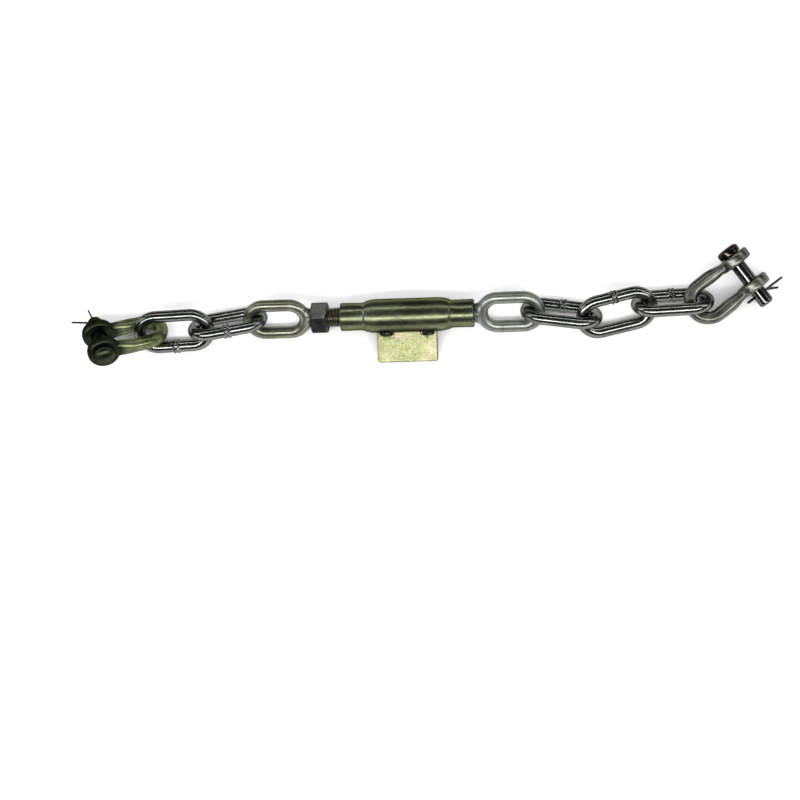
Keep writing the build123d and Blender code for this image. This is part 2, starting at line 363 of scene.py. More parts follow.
def planar_rings(spot, points, normals, radius, tall=None):
    """Rings round a path in the spot's plane; radius holds one value for each ring and side, tall that across it."""
    tall = radius if tall is None else tall
    sides = radius.shape[1]
    turn = np.arange(sides) / sides * TAU
    local = np.zeros((len(points), sides, 3))
    local[..., 0] = points[:, :1] + normals[:, :1] * radius * np.cos(turn)
    local[..., 1] = points[:, 1:2] + normals[:, 1:2] * radius * np.cos(turn)
    local[..., 2] = tall * np.sin(turn)
    return spot.out(local)


def link_mesh(spot, seam_side, seed):
    """A drawn-wire link with the flash of its weld on one bar."""
    straight = (LINK_LENGTH - LINK_WIDTH) / 2
    bend = (LINK_WIDTH - LINK_WIRE) / 2
    points, normals, lengths = stadium(straight, bend, seam_side, 3.4, 230)
    sides = 56
    turn = np.arange(sides) / sides * TAU
    radius = np.full((len(points), sides), LINK_WIRE / 2)
    for i, t in enumerate(lengths):
        if abs(t) < 3.4:
            for k, a in enumerate(turn):
                rough = noise.noise(Vector((math.cos(a) * 1.7, math.sin(a) * 1.7, seed + t * 0.6)))
                sharp = noise.noise(Vector((math.cos(a) * 4.0, math.sin(a) * 4.0, seed * 3 + t * 1.9)))
                lip = math.exp(-((abs(t) - 1.4 - rough * 0.9) / 0.8) ** 2)
                swell = math.exp(-(t / 2.5) ** 4)
                radius[i, k] += swell * (0.22 + 0.45 * rough) + lip * (0.55 + 0.95 * rough + 0.4 * sharp)
    rings = planar_rings(spot, points, normals, radius)
    verts, faces = skin(rings, looped=True)
    verts = lumpy(verts, 0.035, 12.0, seed)
    verts[:, 2] = np.maximum(verts[:, 2], 0.0)
    return verts, faces


def eye_mesh(spot, side, seed):
    """A forged eye and the neck that runs into its rod."""
    straight = (EYE_LENGTH - EYE_WIDTH) / 2
    bend = (EYE_WIDTH - EYE_WIRE) / 2
    points, normals, _ = stadium(straight, bend, 1, 3.0, 150)
    sides = 48
    turn = np.arange(sides) / sides * TAU
    flat = 1 - 0.035 * np.cos(2 * turn) ** 2
    radius = np.tile(EYE_WIRE / 2 * flat, (len(points), 1))
    loop = skin(planar_rings(spot, points, normals, radius), looped=True)
    neck = Spot(spot.at(-side * EYE_HALF, 0, 0), -X_DIR * side, spot.y)
    flare = (
        (-3.2, 13.0, 3.3), (-1.6, 12.3, 4.0), (0.2, 11.1, 4.7), (1.8, 9.7, 5.4), (3.4, 8.4, 6.1), (4.8, 7.4, 6.6),
        (6.2, 6.9, 6.8),
    )
    sides = 56
    turn = np.arange(sides) / sides * TAU
    local = []
    for x, wide, deep in ((-3.3, 0.5, 0.5), *flare, (9.0, 6.8, 6.8), (9.1, 0.5, 0.5)):
        local.append(np.column_stack([np.full(sides, x), wide * np.cos(turn), deep * np.sin(turn)]))
    return joined(loop, skin(neck.out(np.array(local))))


def thread_mesh(start, end, hand, fade):
    """A rod with a real helical thread along X, from one x to another."""
    pitch, depth, sides, fine = 2.0, 1.16, 60, 0.145
    count = int(abs(end - start) / fine)
    xs = np.linspace(start, end, count)
    turn = np.arange(sides) / sides * TAU
    phase = (xs[:, None] / pitch - hand * turn[None, :] / TAU) % 1.0
    ridge = np.clip(1.28 * (1 - np.abs(2 * phase - 1)) - 0.08, 0, 1)
    ridge = ridge - 0.05 * np.sin(ridge * math.pi)
    from_start = np.abs(xs - start)[:, None]
    from_end = np.abs(xs - end)[:, None]
    runout = np.clip(from_start / fade, 0, 1)
    radius = ROD_RADIUS - depth * (1 - ridge) * runout - 0.9 * (1 - runout)
    radius = np.minimum(radius, ROD_RADIUS - 1.2 + from_end)
    local = np.zeros((count, sides, 3))
    local[..., 0] = xs[:, None] - MIDDLE[0]
    local[..., 1] = radius * np.cos(turn)
    local[..., 2] = radius * np.sin(turn)
    return skin(Spot(MIDDLE, X_DIR, (0, 1, 0)).out(local))


# ------------------------------------------------------------------ body, tab, welds, nut
def tube_mesh():
    """The pipe, with both ends swaged down on to the thread and creased where the die stopped."""
    half = BODY_LENGTH / 2
    start = half - SWAGE_LENGTH
    end = start - TAPER_LENGTH
    outer = [
        (0.0, PIPE_RADIUS),
        (end - 3.6, PIPE_RADIUS),
        (end - 0.6, PIPE_RADIUS - 0.12),
        (end + 2.0, PIPE_RADIUS - 0.50),
        (start - 0.6, SWAGE_RADIUS + 0.90),
        (start + 0.5, SWAGE_RADIUS + 0.16),
        (start + 2.4, SWAGE_RADIUS - 0.08),
        (start + 6.0, SWAGE_RADIUS - 0.10),
        (half - 4.0, SWAGE_RADIUS),
        (half - 0.6, SWAGE_RADIUS),
        (half, SWAGE_RADIUS - 0.55),
        (half, THREAD_BORE + 1.1),
        (half - 1.2, THREAD_BORE),
    ]
    inner = [(start, THREAD_BORE), (end, PIPE_BORE), (0.0, PIPE_BORE)]
    right = outer + inner
    left = [(-x, r) for x, r in reversed(outer[1:])]
    left_inner = [(-x, r) for x, r in reversed(inner[:-1])]
    outline = left + right + left_inner
    profile = divided(eased(outline, 0.7, 4, closed=True), 1.6, closed=True)
    rings = lathe(Spot(MIDDLE, X_DIR, (0, 1, 0)), profile, 112)
    verts, faces = skin(rings, looped=True)
    along = verts[:, 0] - MIDDLE[0]
    around = np.arctan2(verts[:, 2] - MIDDLE[2], verts[:, 1] - MIDDLE[1])
    reach = np.hypot(verts[:, 1] - MIDDLE[1], verts[:, 2] - MIDDLE[2])
    near = np.exp(-(((np.abs(along) - start - 1.0) / 2.6) ** 2)) * (reach > SWAGE_RADIUS - 2)
    dent = near * (0.16 * np.sin(3 * around + along * 0.1) + 0.13 * np.sin(5 * around + 1.7))
    scale = (1 + dent / reach)[:, None]
    centre = np.column_stack([verts[:, 0], np.full(len(verts), MIDDLE[1]), np.full(len(verts), MIDDLE[2])])
    verts = centre + (verts - centre) * scale
    return lumpy(verts, 0.045, 11.0, 4.0), faces


def tab_spot():
    droop = math.radians(TAB_DROOP)
    return Spot(MIDDLE, X_DIR, (0, -math.cos(droop), -math.sin(droop)))


def inset(outline, depth):
    """A closed outline moved inwards by a depth."""
    ahead = np.roll(outline, -1, axis=0) - np.roll(outline, 1, axis=0)
    ahead = ahead / np.linalg.norm(ahead, axis=1)[:, None]
    inward = np.column_stack([ahead[:, 1], -ahead[:, 0]])
    return outline + inward * depth


def tab_mesh():
    """The flat turning tab: sheared plate with soft edges and a slightly wavy face."""
    spot = tab_spot()
    root = math.sqrt(PIPE_RADIUS**2 - (TAB_THICKNESS / 2) ** 2) - 0.8
    half, thick = TAB_WIDTH / 2, TAB_THICKNESS / 2
    outline = eased([(-half, root), (-half, TAB_REACH), (half, TAB_REACH), (half, root)], 1.9, 8, closed=True)
    outline = divided(outline, 1.5, closed=True)
    edge = ((0.9, 0.0), (0.45, 0.10), (0.14, 0.36), (0.0, 0.85))
    layers = [(-thick + z, depth) for depth, z in edge] + [(0.0, 0.0)] + [(thick - z, depth) for depth, z in edge[::-1]]
    rings = [np.column_stack([inset(outline, depth), np.full(len(outline), z)]) for z, depth in layers]
    middle = np.array((0.0, (root + TAB_REACH) / 2, 0.0))
    shares = np.linspace(0.06, 0.96, 12)
    face = [rings[0] + (middle + (0, 0, -thick) - rings[0]) * share for share in shares[::-1]]
    back = [rings[-1] + (middle + (0, 0, thick) - rings[-1]) * share for share in shares]
    rings = np.array(face + rings + back)
    rings[..., 0] += TAB_OFFSET
    wave = np.array([[noise.noise(Vector((p[0] * 0.09, p[1] * 0.09, 3.0))) for p in ring] for ring in rings])
    rings[..., 2] += wave * 0.10
    return skin(spot.out(rings))


def weld_mesh(side, seed):
    """A short lumpy bead in the corner between tab and pipe, with a little spatter."""
    spot = tab_spot()
    x = TAB_OFFSET + side * WELD_SPACING / 2
    bead = Spot(spot.at(x, WELD_ROOT - 0.2, -TAB_THICKNESS / 2 - WELD_RISE + 0.6), spot.x, spot.y)
    sides, count, half = 40, 44, 5.9
    xs = np.linspace(-half, half, count)
    turn = np.arange(sides) / sides * TAU
    local = np.zeros((count, sides, 3))
    for i, s in enumerate(xs):
        belly = max(0.03, 1 - abs(s / half) ** 2.6) ** 0.5
        ripple = 0.14 * math.sin(s * 3.3 + seed)
        for k, a in enumerate(turn):
            lump = noise.noise(Vector((s * 0.33, math.cos(a) * 1.1, math.sin(a) * 1.1 + seed)))
            grain = noise.noise(Vector((s * 1.1, math.cos(a) * 2.6, math.sin(a) * 2.6 + seed * 2)))
            r = belly * (2.3 + ripple + 0.95 * lump + 0.55 * grain)
            local[i, k] = (s + 0.3 * lump, r * math.cos(a), 0.82 * r * math.sin(a))
    parts = [skin(bead.out(local))]
    for n in range(7):
        away = noise.noise_vector(Vector((seed, n * 1.7, 0.3)))
        size = 0.34 + 0.35 * abs(away.z)
        spread = Vector((away.x * 9.5, 2.2 + abs(away.y) * 5.0, 0.0))
        drop = Spot(bead.at(spread.x, spread.y, WELD_RISE - 0.5 - 0.25 * size), bead.x, bead.y)
        ball = [(size * math.cos(a), size * math.sin(a)) for a in np.linspace(math.pi - 0.1, 0.1, 9)]
        parts.append(skin(lathe(drop, ball, 14)))
    return joined(*parts)


def nut_mesh(left_x):
    """A hexagon nut with its corners turned off at both faces."""
    spot = Spot((left_x, MIDDLE[1], MIDDLE[2]), X_DIR, (0, 1, 0))
    half = NUT_FLATS / 2
    corners = half / math.cos(math.pi / 6)
    near = np.radians([0.0, 0.7, 1.5, 2.6, 4.5, 7.5, 12.0, 17.0, 23.0, 30.0])
    turn = []
    for corner in range(6):
        base = math.radians(NUT_TURN) + corner * math.pi / 3
        turn += [base - a for a in near[:0:-1]] + [base + a for a in near[:-1]]
    turn = np.array(turn)
    from_corner = (turn - math.radians(NUT_TURN) + math.pi / 6) % (math.pi / 3) - math.pi / 6
    hexagon = half / np.cos(math.pi / 6 - np.abs(from_corner))
    hexagon = np.minimum(hexagon, corners - 0.32 + 0.14 * np.cos(from_corner * 24))
    crown = 1.25
    steps = [0.0, 0.12, 0.3, 0.5, 0.75, 1.0, crown, 1.7]
    outer = []
    for s in steps:
        outer.append((s, half - 0.35 + 1.75 * s))
    rows = [(s, limit) for s, limit in outer] + [(NUT_THICKNESS / 2, corners)]
    rows += [(NUT_THICKNESS - s, limit) for s, limit in reversed(outer)]
    rings = []
    for s, limit in rows:
        rings.append((s, np.minimum(hexagon, limit)))
    face = [(NUT_THICKNESS, half - 1.6), (NUT_THICKNESS, THREAD_BORE + 1.3), (NUT_THICKNESS - 0.35, THREAD_BORE + 0.75)]
    face += [(NUT_THICKNESS - 1.0, THREAD_BORE + 0.02), (1.0, THREAD_BORE + 0.02)]
    face += [(0.35, THREAD_BORE + 0.75), (0.0, THREAD_BORE + 1.3), (0.0, half - 1.6)]
    rings += [(s, np.full(len(turn), r)) for s, r in face]
    local = np.zeros((len(rings), len(turn), 3))
    for i, (s, r) in enumerate(rings):
        local[i, :, 0] = s
        local[i, :, 1] = r * np.cos(turn)
        local[i, :, 2] = r * np.sin(turn)
    return skin(spot.out(local), looped=True)


# ------------------------------------------------------------------ shackles and pins
def shackle_mesh(spot, rim):
    """Overlapping solids of a forged shackle: bow, arms and the two ears."""
    bend = (BOW_WIDTH - SHACKLE_WIRE) / 2
    bow_middle = BOW_WIDTH / 2 - SHACKLE_LENGTH
    reach = (-ARM_END - bow_middle) / ARM_SWEEP_RADIUS
    points, normals, along = [], [], []
    for a in np.linspace(reach, 0.0, 30)[:-1]:
        points.append((bow_middle + ARM_SWEEP_RADIUS * math.sin(a), bend - ARM_SWEEP_RADIUS * (1 - math.cos(a))))
        normals.append((math.sin(a), math.cos(a)))
        along.append(a / reach)
    for a in np.linspace(math.pi / 2, 1.5 * math.pi, 60):
        points.append((bow_middle + bend * math.cos(a), bend * math.sin(a)))
        normals.append((math.cos(a), math.sin(a)))
        along.append(0.0)
    for a in np.linspace(0.0, reach, 30)[1:]:
        points.append((bow_middle + ARM_SWEEP_RADIUS * math.sin(a), ARM_SWEEP_RADIUS * (1 - math.cos(a)) - bend))
        normals.append((math.sin(a), -math.cos(a)))
        along.append(a / reach)
    points, normals, along = np.array(points), np.array(normals), np.array(along)
    sides = 48
    turn = np.arange(sides) / sides * TAU
    facets = 1 - 0.07 * np.cos(2 * turn) ** 6 - 0.02 * np.cos(3 * turn + 0.6) ** 2
    merge = np.clip((along - 0.35) / 0.65, 0, 1)
    merge = merge * merge * (3 - 2 * merge)
    fuller = 1 + 0.09 * np.sin(np.clip(along, 0, 1) * math.pi) ** 2
    radius = SHACKLE_WIRE / 2 * facets[None, :] * (fuller - 0.25 * merge)[:, None]
    tall = SHACKLE_WIRE / 2 * facets[None, :] * (fuller + 0.32 * merge)[:, None]
    rings = planar_rings(spot, points, normals, radius, tall)
    parts = [skin(rings)]
    pin_line = pin_spot(spot)
    for side in (-1, 1):
        inner = side * (EARS_ACROSS / 2 - EAR_THICKNESS)
        outer = side * EARS_ACROSS / 2
        disc = [(inner, 0.5), (inner, EAR_RADIUS), (outer, EAR_RADIUS), (outer, 0.5)]
        parts.append(skin(lathe(pin_line, divided(eased(disc, rim, 6), 1.2), 72)))
    return joined(*parts)


def bore_tool(spot):
    """The clevis bore, opened out a little at each ear's face."""
    face = EARS_ACROSS / 2
    inner = face - EAR_THICKNESS
    bore = PIN_RADIUS + PIN_CLEARANCE
    profile = [
        (-face - 3, 0.5), (-face - 3, bore + 3.0), (-face + 0.3, bore + 0.1), (-face + 0.5, bore),
        (-inner - 0.3, bore), (-inner, bore + 0.35), (inner, bore + 0.35), (inner + 0.3, bore),
        (face - 0.5, bore), (face - 0.3, bore + 0.1), (face + 3, bore + 3.0), (face + 3, 0.5),
    ]
    verts, faces = skin(lathe(pin_spot(spot), profile, 72))
    return raw_object("bore_tool", verts, faces)


def split_spot(spot, turn):
    """The place of the cross hole: z along the hole, x along the clevis pin towards its tail."""
    a = math.radians(turn)
    hole = spot.x * math.cos(a) + spot.z * math.sin(a)
    x_dir = -spot.y
    return Spot(spot.at(0, -SPLIT_REACH, 0), x_dir, np.cross(hole, x_dir))


def clevis_mesh(spot, domed):
    """A turned clevis pin, its head either domed or flat and slightly dished."""
    start = EARS_ACROSS / 2 + HEAD_GAP
    top = start + HEAD_HEIGHT
    dome = [
        (top - 4.4, HEAD_RADIUS), (top - 2.9, HEAD_RADIUS - 0.6), (top - 1.5, HEAD_RADIUS - 2.0),
        (top - 0.5, HEAD_RADIUS - 4.2), (top - 0.05, HEAD_RADIUS - 6.6), (top, 0.2),
    ]
    dish = [
        (top - 2.0, HEAD_RADIUS), (top - 0.7, HEAD_RADIUS - 1.1), (top, HEAD_RADIUS - 3.0),
        (top, 3.2), (top - 0.35, 2.0), (top - 0.5, 0.2),
    ]
    profile = [
        (-TAIL_REACH, 0.3), (-TAIL_REACH, PIN_RADIUS - 1.5), (-TAIL_REACH + 1.5, PIN_RADIUS),
        (start - 0.9, PIN_RADIUS), (start - 0.3, PIN_RADIUS + 0.12), (start, PIN_RADIUS + 0.8),
        (start, HEAD_RADIUS - 0.5), (start + 0.5, HEAD_RADIUS),
    ]
    profile += dome if domed else dish
    return skin(lathe(pin_spot(spot), divided(eased(profile, 0.55, 4), 1.5), 80))


def hole_tool(spot, turn):
    place = split_spot(spot, turn)
    hole = Spot(place.o, place.z, place.x)
    deep = PIN_RADIUS + 2
    profile = [
        (-deep, 0.2), (-deep, SPLIT_HOLE + 2.2), (-PIN_RADIUS + 0.35, SPLIT_HOLE), (PIN_RADIUS - 0.35, SPLIT_HOLE),
        (deep, SPLIT_HOLE + 2.2), (deep, 0.2),
    ]
    verts, faces = skin(lathe(hole, profile, 40))
    return raw_object("hole_tool", verts, faces)


def split_mesh(spot, turn, legs):
    """One half-round wire: down a leg, round the eye and up the other leg."""
    place = split_spot(spot, turn)
    low = -SPLIT_STEM / 2
    eye = np.array((0.0, low - SPLIT_EYE + 0.3))
    feet, tips = [], []
    for side, (leg_turn, lean, length) in zip((-1, 1), legs):
        a, b = math.radians(leg_turn), math.radians(lean)
        aim = np.array((math.sin(b), -math.sin(a) * math.cos(b), math.cos(a) * math.cos(b)))
        foot = np.array((0.0, side * LEG_OFFSET, SPLIT_STEM / 2 - LEG_RADIUS))
        feet.append(foot)
        tips.append(foot + aim * (length - 0.1))
    ring = []
    for a in np.linspace(math.radians(112), math.radians(428), 25):
        ring.append((0.0, SPLIT_EYE * math.cos(a), eye[1] + SPLIT_EYE * math.sin(a)))
    near, far = feet
    path = [tips[0], near + (tips[0] - near) * 0.3, near, near - np.array((0, 0, 2.5)), (0, -LEG_OFFSET, low + 2.5)]
    path += [(0, -LEG_OFFSET - 0.1, low + 0.6)] + ring + [(0, LEG_OFFSET + 0.1, low + 0.6)]
    path += [(0, LEG_OFFSET, low + 2.5), far - np.array((0, 0, 2.5)), far, far + (tips[1] - far) * 0.3, tips[1]]
    path = divided(eased([np.array(p, float) for p in path], 1.1, 3), 0.7)
    sides = 20
    around = np.arange(sides) / sides * TAU
    normal = np.array((0.0, -1.0, 0.0))
    rings = []
    for i, p in enumerate(path):
        ahead = unit(path[min(i + 1, len(path) - 1)] - path[max(i - 1, 0)])
        normal = unit(normal - ahead * (normal @ ahead))
        other = np.cross(ahead, normal)
        wide = LEG_RADIUS * np.cos(around)
        wide = np.maximum(wide, -0.72 * LEG_RADIUS)
        tall = 1.3 * LEG_RADIUS * np.sin(around)
        taper = 0.55 if i in (0, len(path) - 1) else 1.0
        rings.append(p + taper * (wide[:, None] * normal + tall[:, None] * other))
    return skin(place.out(np.array(rings)))


# ------------------------------------------------------------------ materials
def new_material(name):
    material = bpy.data.materials.new(name)
    material.use_nodes = True
    tree = material.node_tree
    shader = tree.nodes["Principled BSDF"]
    coords = tree.nodes.new("ShaderNodeTexCoord")
    return material, tree, shader, coords.outputs["Object"]


def noise_node(tree, coords, scale, detail=4.0, rough=0.55, stretch=None, distortion=0.0):
    source = coords
    if stretch is not None:
        mapping = tree.nodes.new("ShaderNodeMapping")
        mapping.inputs["Scale"].default_value = stretch
        tree.links.new(coords, mapping.inputs["Vector"])
        source = mapping.outputs["Vector"]
    node = tree.nodes.new("ShaderNodeTexNoise")
    node.inputs["Scale"].default_value = scale
    node.inputs["Detail"].default_value = detail
    node.inputs["Roughness"].default_value = rough
    node.inputs["Distortion"].default_value = distortion
    tree.links.new(source, node.inputs["Vector"])
    return node.outputs["Fac"]


def ramp_node(tree, value, stops):
    ramp = tree.nodes.new("ShaderNodeValToRGB")
    tree.links.new(value, ramp.inputs["Fac"])
    elements = ramp.color_ramp.elements
    while len(elements) < len(stops):
        elements.new(0.5)
    for element, (position, colour) in zip(elements, stops):
        element.position = position
        element.color = (*colour, 1.0)
    return ramp.outputs["Color"]


def spread_node(tree, value, low, high, to_low, to_high):
    node = tree.nodes.new("ShaderNodeMapRange")
    node.inputs["From Min"].default_value = low
    node.inputs["From Max"].default_value = high
    node.inputs["To Min"].default_value = to_low
    node.inputs["To Max"].default_value = to_high
    tree.links.new(value, node.inputs["Value"])
    return node.outputs["Result"]


def mix_node(tree, factor, first, second, blend="MIX"):
    node = tree.nodes.new("ShaderNodeMix")
    node.data_type = "RGBA"
    node.blend_type = blend
    sockets = (("Factor", factor), ("A", first), ("B", second))
    colour_inputs = {"A": node.inputs[6], "B": node.inputs[7], "Factor": node.inputs[0]}
    for name, value in sockets:
        if isinstance(value, bpy.types.NodeSocket):
            tree.links.new(value, colour_inputs[name])
        elif name == "Factor":
            colour_inputs[name].default_value = value
        else:
            colour_inputs[name].default_value = (*value, 1.0)
    return node.outputs[2]


def bump_node(tree, height, strength, distance, before=None):
    node = tree.nodes.new("ShaderNodeBump")
    node.inputs["Strength"].default_value = strength
    node.inputs["Distance"].default_value = distance * MM
    tree.links.new(height, node.inputs["Height"])
    if before is not None:
        tree.links.new(before, node.inputs["Normal"])
    return node.outputs["Normal"]


def near_node(tree, coords, centre, near, far, line=None):
    """One within a distance of a point or a line of the object, none beyond a further distance."""
    offset = tree.nodes.new("ShaderNodeVectorMath")
    offset.operation = "SUBTRACT"
    tree.links.new(coords, offset.inputs[0])
    offset.inputs[1].default_value = tuple(c * MM for c in centre)
    away = offset.outputs["Vector"]
    if line is not None:
        across = tree.nodes.new("ShaderNodeVectorMath")
        across.operation = "CROSS_PRODUCT"
        tree.links.new(away, across.inputs[0])
        across.inputs[1].default_value = tuple(unit(line))
        away = across.outputs["Vector"]
    distance = tree.nodes.new("ShaderNodeVectorMath")
    distance.operation = "LENGTH"
    tree.links.new(away, distance.inputs[0])
    return spread_node(tree, distance.outputs["Value"], near * MM, far * MM, 1.0, 0.0)


def edge_node(tree, direction):
    """One on the faces that lie across a direction of the object, none on those that face along it."""
    across = tree.nodes.new("ShaderNodeVectorMath")
    across.operation = "DOT_PRODUCT"
    texture = tree.nodes.new("ShaderNodeTexCoord")
    tree.links.new(texture.outputs["Normal"], across.inputs[0])
    across.inputs[1].default_value = tuple(direction)
    size = tree.nodes.new("ShaderNodeMath")
    size.operation = "ABSOLUTE"
    tree.links.new(across.outputs["Value"], size.inputs[0])
    return spread_node(tree, size.outputs["Value"], 0.55, 0.93, 1.0, 0.0)


def plated(name, stops, patch_scale, roughness, grain, grain_scale, grime, stretch=None, mottle=0.23, tint_and_shade=None):
    """Zinc-plated steel: patches of colour, dull spots, fine grain, faint scratches and grime in patches; the optional
    masked mix towards another colour gives some parts a colour of their own in one place and paints shade on others.
    """
    material, tree, shader, coords = new_material(name)
    shader.inputs["Metallic"].default_value = 1.0
    shader.inputs["Specular Tint"].default_value = (0.35, 0.35, 0.33, 1.0)
    patches = noise_node(tree, coords, patch_scale, 5.0, 0.6, stretch, 0.4)
    colour = ramp_node(tree, patches, stops)
    fine = noise_node(tree, coords, grain_scale, 6.0, 0.65)
    shade = spread_node(tree, fine, 0.3, 0.7, 1 - 1.2 * mottle, 1 + mottle)
    lightness = tree.nodes.new("ShaderNodeVectorMath")
    lightness.operation = "SCALE"
    tree.links.new(colour, lightness.inputs[0])
    tree.links.new(shade, lightness.inputs["Scale"])
    colour = lightness.outputs["Vector"]
    dirt = spread_node(tree, noise_node(tree, coords, patch_scale * 2.7, 7.0, 0.7), 0.55, 0.75, 0.0, grime)
    colour = mix_node(tree, dirt, colour, (0.035, 0.035, 0.028))
    # Optional masked mix towards another colour: on the left shackle's ears it is painted shade.
    if tint_and_shade is not None:
        mask, tint_and_shade_colour = tint_and_shade(tree, coords)
        colour = mix_node(tree, mask, colour, tint_and_shade_colour)
    tree.links.new(colour, shader.inputs["Base Color"])
    dull = noise_node(tree, coords, patch_scale * 1.6, 5.0, 0.6)
    low, high = roughness
    tree.links.new(spread_node(tree, dull, 0.3, 0.72, low, high), shader.inputs["Roughness"])
    scratches = noise_node(tree, coords, 260.0, 3.0, 0.6, (0.16, 2.6, 2.6))
    normal = bump_node(tree, fine, grain, 0.05)
    normal = bump_node(tree, scratches, grain * 0.5, 0.03, normal)
    tree.links.new(normal, shader.inputs["Normal"])
    return material


def floor_material():
    material, tree, shader, coords = new_material("floor_pale")
    tone = spread_node(tree, noise_node(tree, coords, 3.0, 3.0, 0.5), 0.3, 0.7, 0.80, 0.84)
    colour = tree.nodes.new("ShaderNodeCombineColor")
    for channel in ("Red", "Green", "Blue"):
        tree.links.new(tone, colour.inputs[channel])
    tree.links.new(colour.outputs["Color"], shader.inputs["Base Color"])
    shader.inputs["Roughness"].default_value = 0.75
    return material


def make_materials():
    olive = [(0.30, (0.080, 0.085, 0.050)), (0.48, (0.130, 0.136, 0.080)), (0.62, (0.165, 0.185, 0.118)), (0.78, (0.205, 0.185, 0.125))]
    tab = [(0.28, (0.23, 0.25, 0.11)), (0.46, (0.34, 0.36, 0.175)), (0.60, (0.41, 0.405, 0.235)), (0.78, (0.46, 0.35, 0.27))]
    warm = [(0.30, (0.135, 0.133, 0.098)), (0.50, (0.21, 0.21, 0.163)), (0.72, (0.28, 0.29, 0.245))]
    pale = [(0.30, (0.17, 0.185, 0.170)), (0.50, (0.25, 0.265, 0.24)), (0.72, (0.33, 0.34, 0.31))]
    link = [(0.30, (0.105, 0.125, 0.118)), (0.50, (0.175, 0.179, 0.168)), (0.72, (0.25, 0.242, 0.227))]
    nut = [(0.30, (0.075, 0.075, 0.070)), (0.50, (0.115, 0.114, 0.105)), (0.72, (0.16, 0.156, 0.144))]
    yellow = [(0.28, (0.085, 0.105, 0.045)), (0.46, (0.150, 0.172, 0.085)), (0.62, (0.23, 0.250, 0.14)), (0.78, (0.26, 0.24, 0.16))]
    grey = [(0.28, (0.085, 0.092, 0.081)), (0.50, (0.165, 0.168, 0.145)), (0.74, (0.25, 0.245, 0.20))]
    dark = [(0.30, (0.016, 0.020, 0.014)), (0.52, (0.035, 0.040, 0.027)), (0.74, (0.065, 0.066, 0.045))]
    bright = [(0.30, (0.08, 0.08, 0.077)), (0.50, (0.13, 0.13, 0.127)), (0.72, (0.19, 0.187, 0.18))]
    wire = [(0.30, (0.030, 0.030, 0.032)), (0.55, (0.055, 0.055, 0.058)), (0.75, (0.09, 0.09, 0.094))]
    weld = [(0.34, (0.008, 0.008, 0.006)), (0.55, (0.022, 0.022, 0.018)), (0.66, (0.34, 0.34, 0.30))]

    left_pin, right_pin = joint_at("left_pin_turn"), joint_at("right_pin_turn")
    head = right_pin + unit(joint_axis("right_pin_turn")) * (EARS_ACROSS / 2 + HEAD_HEIGHT)
    return {
        "body_zinc": plated("body_zinc", olive, 55.0, (0.24, 0.38), 0.30, 1100.0, 0.5, (0.4, 1.0, 1.0), 0.30),
        "tab_zinc": plated(
            "tab_zinc", tab, 90.0, (0.36, 0.55), 1.0, 900.0, 0.25, None, 0.42,
            lambda tree, coords: (edge_node(tree, tab_spot().z), (0.055, 0.042, 0.034)),
        ),
        "weld_steel": plated("weld_steel", weld, 420.0, (0.18, 0.45), 1.0, 1500.0, 0.4),
        "eye_zinc_warm": plated("eye_zinc_warm", warm, 60.0, (0.28, 0.42), 0.22, 900.0, 0.4),
        "eye_zinc_pale": plated("eye_zinc_pale", pale, 60.0, (0.32, 0.46), 0.22, 900.0, 0.3),
        "nut_steel": plated("nut_steel", nut, 80.0, (0.24, 0.38), 0.5, 700.0, 0.5),
        "link_zinc": plated("link_zinc", link, 50.0, (0.15, 0.26), 0.07, 900.0, 0.35),
        # The left shackle's ears round the pin are mixed to near black: painted shade for the dark surroundings that
        # they reflect.
        "shackle_zinc_olive": plated(
            "shackle_zinc_olive", yellow, 70.0, (0.30, 0.44), 0.25, 700.0, 0.4, None, 0.23,
            lambda tree, coords: (
                near_node(tree, coords, left_pin, 13.2, 20.0, joint_axis("left_pin_turn")),
                (0.024, 0.030, 0.019),
            ),
        ),
        "shackle_zinc_grey": plated("shackle_zinc_grey", grey, 70.0, (0.24, 0.44), 0.5, 700.0, 0.45),
        "pin_dark": plated("pin_dark", dark, 80.0, (0.28, 0.45), 0.3, 800.0, 0.5),
        "pin_bright": plated(
            "pin_bright", bright, 60.0, (0.09, 0.20), 0.2, 900.0, 0.3, (0.5, 1.0, 1.0), 0.23,
            lambda tree, coords: (near_node(tree, coords, head, 10.0, 14.0), (0.058, 0.048, 0.043)),
        ),
        "split_steel": plated("split_steel", wire, 200.0, (0.22, 0.40), 0.4, 1500.0, 0.3),
    }


# ------------------------------------------------------------------ assembling
def add(name, mesh_data, slot_name, body, nodes, crease=38.0):
    obj = raw_object(name, *mesh_data)
    return dress(obj, materials[slot_name], body, nodes, crease)


def add_body():
    add("body_pipe", tube_mesh(), "body_zinc", "turnbuckle_body", ["body_tube"])
    add("body_tab", tab_mesh(), "tab_zinc", "turnbuckle_body", ["turning_tab"])
    add("weld_bead_left", weld_mesh(-1, 2.0), "weld_steel", "turnbuckle_body", ["tab_weld_left"], 60.0)
    add("weld_bead_right", weld_mesh(1, 5.0), "weld_steel", "turnbuckle_body", ["tab_weld_right"], 60.0)


def add_eyes():
    ends = (
        ("left", "left_link_1_swing", -1, "left_eye", "eye_zinc_warm", "left_eye_bolt"),
        ("right", "right_link_1_swing", 1, "right_eye", "eye_zinc_pale", "right_eye_bolt"),
    )
    for name, hook, side, body, slot_name, node in ends:
        spot = eye_spot(hook, side)
        forging = fused(raw_object(f"{name}_eye", *eye_mesh(spot, side, side + 3.0)), 0.42, 9)
        lumpy_object(forging, 0.09, 7.0, side + 5.0)
        dress(forging, materials[slot_name], body, [node], 60.0)
        neck = spot.at(-side * EYE_HALF, 0, 0)[0]
        thread_start = neck - side * NECK_SHOWN
        thread_end = MIDDLE[0] + side * ROD_INNER_END
        thread = thread_mesh(thread_start, thread_end, side, 2.2)
        add(f"{name}_rod_thread", thread, slot_name, body, [node], 50.0)


def add_nut():
    left_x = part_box("lock_nut")[0].x / MM
    add("hex_lock_nut", nut_mesh(left_x), "nut_steel", "lock_nut_body", ["lock_nut"], 24.0)


